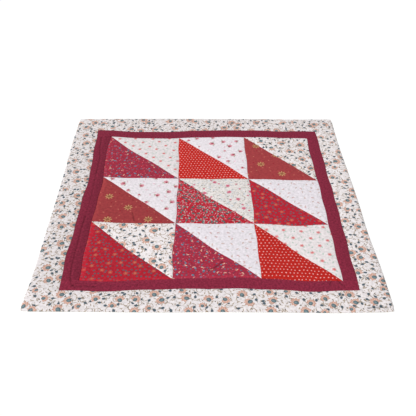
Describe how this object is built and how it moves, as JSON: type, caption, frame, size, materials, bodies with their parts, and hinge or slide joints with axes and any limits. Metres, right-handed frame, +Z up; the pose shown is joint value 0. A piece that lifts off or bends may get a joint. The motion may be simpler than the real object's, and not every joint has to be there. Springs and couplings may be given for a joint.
{
  "type": "quilted table topper",
  "caption": "Square pieced and quilted cotton table topper: half-square-triangle blocks inside a plain inner border and a printed outer border, lying flat.",
  "frame": {"origin": "centre of the topper's box, on the surface that it lies on", "axes": "+Z up out of the pieced face, +Y towards the back edge, +X to the right; dark triangles point to -X and -Y"},
  "size_m": [0.9238, 0.9241, 0.0057],
  "materials": {
    "burgundy_floral": "burgundy quilting cotton printed with small blue flowers and cream sprigs",
    "red_pin_dot": "bright red quilting cotton printed with staggered white pin dots",
    "rust_star_flower": "rust red quilting cotton printed with gold eight-petal star flowers and pale specks",
    "red_leaf": "red quilting cotton densely printed with grey-green leaves and pale specks",
    "crimson_dot": "crimson quilting cotton printed with grey-green dots and small peach florets",
    "ivory_floret": "ivory quilting cotton printed with small coral florets and mint leaves",
    "white_rosebud": "white quilting cotton printed with pink rosebuds on grey-green sprays",
    "border_floral": "off-white quilting cotton printed with peach flowers with slate centres, slate buds and tan stems",
    "ivory_vine": "ivory quilting cotton printed with grey-green vines and pink flowers",
    "lilac_sprig": "lilac-white quilting cotton printed with tiny beige and pink sprigs",
    "maroon_plain": "plain maroon quilting cotton"
  },
  "bodies": {
    "root": {"patch_r1c1_dark": "burgundy_floral", "patch_r1c1_light": "ivory_floret", "patch_r1c2_dark": "red_pin_dot", "patch_r1c2_light": "white_rosebud", "patch_r1c3_dark": "rust_star_flower", "patch_r1c3_light": "border_floral", "patch_r2c1_dark": "rust_star_flower", "patch_r2c1_light": "white_rosebud", "patch_r2c2_dark": "red_leaf", "patch_r2c2_light": "ivory_vine", "patch_r2c3_dark": "crimson_dot", "patch_r2c3_light": "lilac_sprig", "patch_r3c1_dark": "crimson_dot", "patch_r3c1_light": "border_floral", "patch_r3c2_dark": "burgundy_floral", "patch_r3c2_light": "lilac_sprig", "patch_r3c3_dark": "red_pin_dot", "patch_r3c3_light": "ivory_floret", "inner_border_back": "maroon_plain", "inner_border_front": "maroon_plain", "inner_border_left": "maroon_plain", "inner_border_right": "maroon_plain", "outer_border_back": "border_floral", "outer_border_front": "border_floral", "outer_border_left": "border_floral", "outer_border_right": "border_floral"}
  },
  "joints": []
}
